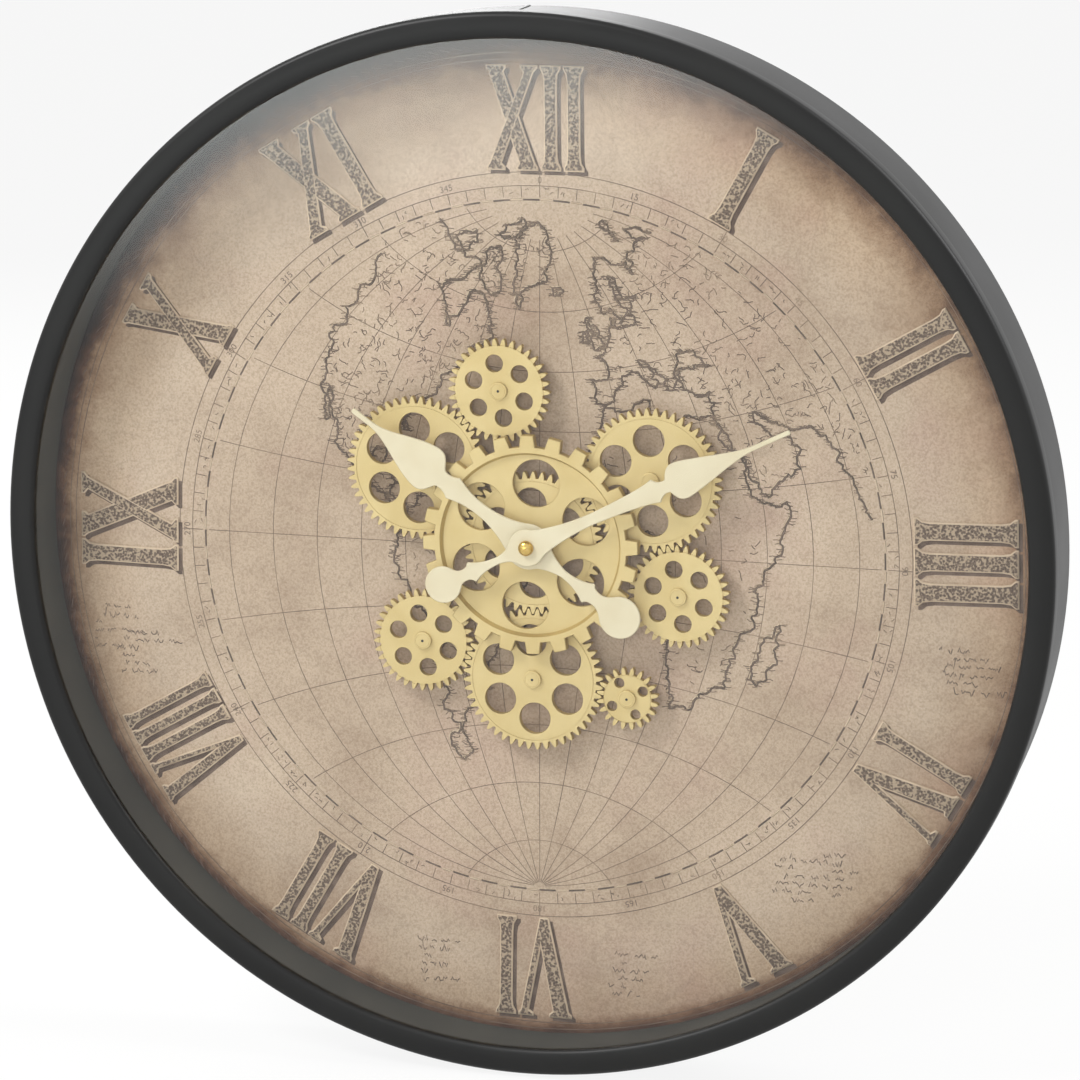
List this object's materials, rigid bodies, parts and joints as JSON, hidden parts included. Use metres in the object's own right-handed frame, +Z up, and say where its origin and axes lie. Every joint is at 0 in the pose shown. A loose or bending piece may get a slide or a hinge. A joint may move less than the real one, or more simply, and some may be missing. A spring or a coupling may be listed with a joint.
{
  "type": "wall clock",
  "caption": "Round wall clock with a deep black metal case, flat glass, printed Roman-numeral dial, an open train of meshing gears behind the hands and a keyhole hanger.",
  "frame": {"origin": "on the axis of the hands, in the plane of the wall behind the case", "axes": "+Y through the case to the wall, so the dial faces -Y; +Z up through twelve; +X to the right of the dial, through three"},
  "size_m": [0.6, 0.066, 0.6],
  "materials": {
    "black_enamel": "satin",
    "dark_lining": "matte",
    "clear_glass": "gloss",
    "hardboard": "matte",
    "parchment_print": "matte",
    "gold_paint": "satin",
    "cream_paint": "satin",
    "brass": "polished",
    "zinc_steel": "satin",
    "black_plastic": "satin",
    "cell_sleeve": "gloss"
  },
  "bodies": {
    "case": {"case_band": "black_enamel", "rear_rim": "black_enamel", "front_bezel": "black_enamel", "glass_lens": "clear_glass", "spacer_ring": "dark_lining", "dial_board": "hardboard", "dial_print": "parchment_print", "hanger_plate": "zinc_steel", "board_bracket_1": "zinc_steel", "board_bracket_2": "zinc_steel", "board_bracket_3": "zinc_steel", "board_bracket_4": "zinc_steel", "board_screw_1": "zinc_steel", "board_screw_2": "zinc_steel", "board_screw_3": "zinc_steel", "board_screw_4": "zinc_steel", "hand_bush": "brass", "bush_washer": "brass", "bush_nut": "brass", "sleeve_clip": "zinc_steel", "movement_case": "black_plastic", "movement_cell": "cell_sleeve", "drive_case": "black_plastic", "drive_cell": "cell_sleeve", "large_post_right": "zinc_steel", "large_post_left": "zinc_steel", "middle_post_right": "zinc_steel", "middle_post_top": "zinc_steel", "middle_post_left": "zinc_steel", "small_post": "zinc_steel", "large_hub_cap_right": "gold_paint", "large_hub_cap_left": "gold_paint", "middle_hub_cap_right": "gold_paint", "middle_hub_cap_top": "gold_paint", "middle_hub_cap_left": "gold_paint", "small_hub_cap": "gold_paint"},
    "minute_hand": {"minute_hand": "cream_paint", "minute_arbor": "zinc_steel", "cap_nut": "brass"},
    "hour_hand": {"hour_hand": "cream_paint", "hour_pipe": "brass"},
    "setting_knob": {"setting_knob": "black_plastic"},
    "center_wheel": {"center_gear": "gold_paint", "front_wheel": "gold_paint", "center_sleeve": "brass"},
    "drive_switch": {"drive_switch": "zinc_steel"},
    "large_gear_right": {"large_gear_right": "gold_paint"},
    "large_gear_left": {"large_gear_left": "gold_paint"},
    "large_gear_lower": {"large_gear_lower": "gold_paint", "large_hub_cap_lower": "gold_paint", "drive_arbor": "zinc_steel"},
    "middle_gear_right": {"middle_gear_right": "gold_paint"},
    "middle_gear_top": {"middle_gear_top": "gold_paint"},
    "middle_gear_left": {"middle_gear_left": "gold_paint"},
    "small_gear": {"small_gear": "gold_paint"}
  },
  "joints": [
    {"name": "minute_turn", "type": "hinge", "parent": "case", "child": "minute_hand", "pos_m": [0, 0, 0], "axis": [0, 1, 0], "continuous": true},
    {"name": "hour_turn", "type": "hinge", "parent": "case", "child": "hour_hand", "pos_m": [0, 0, 0], "axis": [0, 1, 0], "continuous": true},
    {"name": "knob_turn", "type": "hinge", "parent": "case", "child": "setting_knob", "pos_m": [0.013, 0, 0.013], "axis": [0, 1, 0], "continuous": true},
    {"name": "center_turn", "type": "hinge", "parent": "case", "child": "center_wheel", "pos_m": [0, 0, 0], "axis": [0, 1, 0], "continuous": true},
    {"name": "large_turn_right", "type": "hinge", "parent": "case", "child": "large_gear_right", "pos_m": [0.06755, 0, 0.039], "axis": [0, 1, 0], "continuous": true},
    {"name": "large_turn_left", "type": "hinge", "parent": "case", "child": "large_gear_left", "pos_m": [-0.06755, 0, 0.039], "axis": [0, 1, 0], "continuous": true},
    {"name": "large_turn_lower", "type": "hinge", "parent": "case", "child": "large_gear_lower", "pos_m": [0, 0, -0.078], "axis": [0, 1, 0], "continuous": true},
    {"name": "middle_turn_right", "type": "hinge", "parent": "case", "child": "middle_gear_right", "pos_m": [0.08367, 0, -0.02565], "axis": [0, 1, 0], "continuous": true},
    {"name": "middle_turn_top", "type": "hinge", "parent": "case", "child": "middle_gear_top", "pos_m": [-0.01962, 0, 0.08528], "axis": [0, 1, 0], "continuous": true},
    {"name": "middle_turn_left", "type": "hinge", "parent": "case", "child": "middle_gear_left", "pos_m": [-0.06404, 0, -0.05964], "axis": [0, 1, 0], "continuous": true},
    {"name": "small_turn", "type": "hinge", "parent": "case", "child": "small_gear", "pos_m": [0.05471, 0, -0.08569], "axis": [0, 1, 0], "continuous": true},
    {"name": "switch_slide", "type": "slide", "parent": "case", "child": "drive_switch", "axis": [1, 0, 0], "range_m": [0, 0.004]}
  ],
  "couplings": [
    {"joint": "hour_turn", "follows": "minute_turn", "ratio": 0.083333},
    {"joint": "knob_turn", "follows": "minute_turn", "ratio": -0.33333},
    {"joint": "large_turn_right", "follows": "center_turn", "ratio": -1},
    {"joint": "large_turn_left", "follows": "center_turn", "ratio": -1},
    {"joint": "large_turn_lower", "follows": "center_turn", "ratio": -1},
    {"joint": "middle_turn_right", "follows": "center_turn", "ratio": 1.4118},
    {"joint": "middle_turn_top", "follows": "center_turn", "ratio": 1.4118},
    {"joint": "middle_turn_left", "follows": "center_turn", "ratio": 1.4118},
    {"joint": "small_turn", "follows": "center_turn", "ratio": 2.4}
  ]
}
